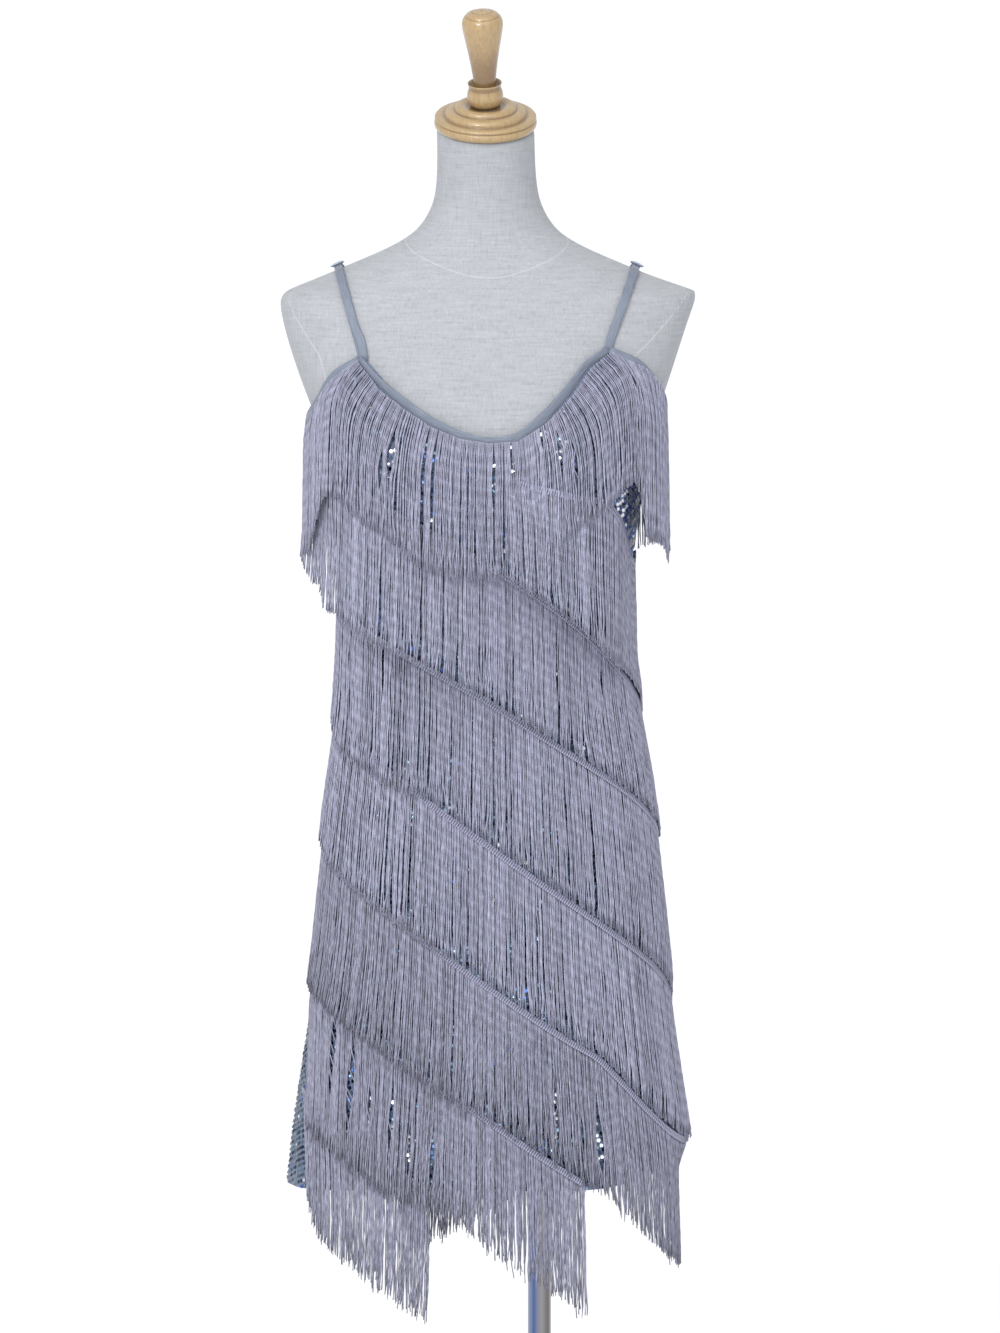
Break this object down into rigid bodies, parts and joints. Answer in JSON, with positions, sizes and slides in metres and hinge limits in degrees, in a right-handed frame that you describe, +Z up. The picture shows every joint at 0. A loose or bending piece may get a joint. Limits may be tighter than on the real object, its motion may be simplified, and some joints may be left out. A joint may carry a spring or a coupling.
{
  "type": "flapper dress on dress form",
  "caption": "Sleeveless strap dress covered in slanting rows of hanging fringe over sequined cloth, on a linen-covered limbless dress form with a turned wooden neck cap, pole and round foot.",
  "frame": {"origin": "middle of the foot's underside, under the pole", "axes": "+Z up along the pole, -Y towards the front of the dress, +X to the viewer's right"},
  "size_m": [0.3904, 0.3, 1.5526],
  "materials": {
    "sequin_net": "stretch net covered in small grey-blue sequins",
    "fringe_thread": "lavender-grey twisted thread, soft sheen",
    "satin_elastic": "grey-blue satin elastic",
    "slider_plastic": "clear moulded plastic",
    "linen": "pale grey plain-woven linen, matt",
    "turned_wood": "clear-varnished light beech",
    "chrome_tube": "polished chrome plate",
    "foot_plate": "brushed steel plate"
  },
  "bodies": {
    "root": {"front_panel": "sequin_net", "back_panel": "sequin_net", "binding_neck": "satin_elastic", "binding_armhole_left": "satin_elastic", "binding_armhole_right": "satin_elastic", "binding_back": "satin_elastic", "fringe_top_front": "fringe_thread", "fringe_top_back": "fringe_thread", "fringe_front_1": "fringe_thread", "fringe_front_2": "fringe_thread", "fringe_front_3": "fringe_thread", "fringe_front_4": "fringe_thread", "fringe_front_5": "fringe_thread", "fringe_front_6": "fringe_thread", "fringe_front_7": "fringe_thread", "fringe_back_1": "fringe_thread", "fringe_back_2": "fringe_thread", "fringe_back_3": "fringe_thread", "fringe_back_4": "fringe_thread", "fringe_back_5": "fringe_thread", "fringe_back_6": "fringe_thread", "strap_left": "satin_elastic", "strap_right": "satin_elastic", "strap_slider_left": "slider_plastic", "strap_slider_right": "slider_plastic", "form_body": "linen", "form_cap": "turned_wood", "form_knob": "turned_wood", "stand_pole": "chrome_tube", "stand_foot": "foot_plate"}
  },
  "joints": []
}
